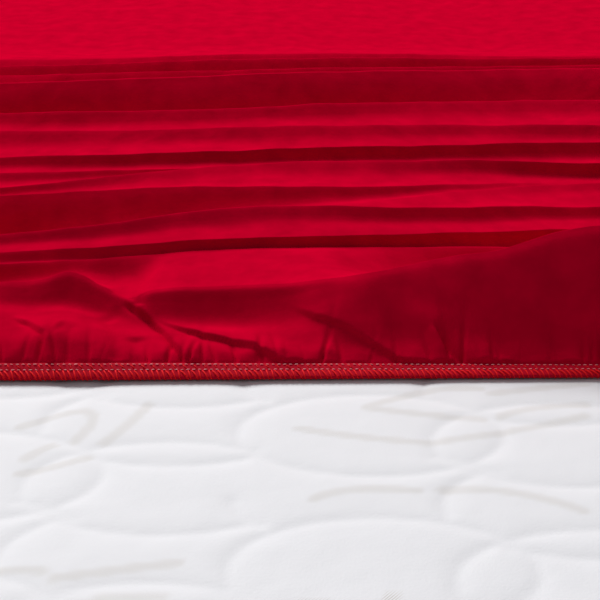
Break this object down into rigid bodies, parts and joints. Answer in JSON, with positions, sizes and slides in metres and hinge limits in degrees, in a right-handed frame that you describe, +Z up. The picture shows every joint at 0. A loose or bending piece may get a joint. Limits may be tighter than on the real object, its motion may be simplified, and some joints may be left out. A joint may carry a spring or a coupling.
{
  "type": "fitted sheet on mattress",
  "caption": "Crimson fitted sheet with an elastic overlocked edge, drawn back in long folds over a plain white single mattress.",
  "frame": {"origin": "on the floor under the middle of the mattress", "axes": "+Y along the mattress from its bare foot to its covered head, +Z up, +X to the right when seen from the foot"},
  "size_m": [0.9716, 2.0051, 0.2674],
  "materials": {
    "ticking": "white quilted knit ticking",
    "sheet_cloth": "crimson woven cotton, soft sheen",
    "edging": "crimson overlock thread over elastic"
  },
  "bodies": {
    "root": {"mattress": "ticking", "sheet_cloth": "sheet_cloth", "elastic_edging": "edging"}
  },
  "joints": []
}
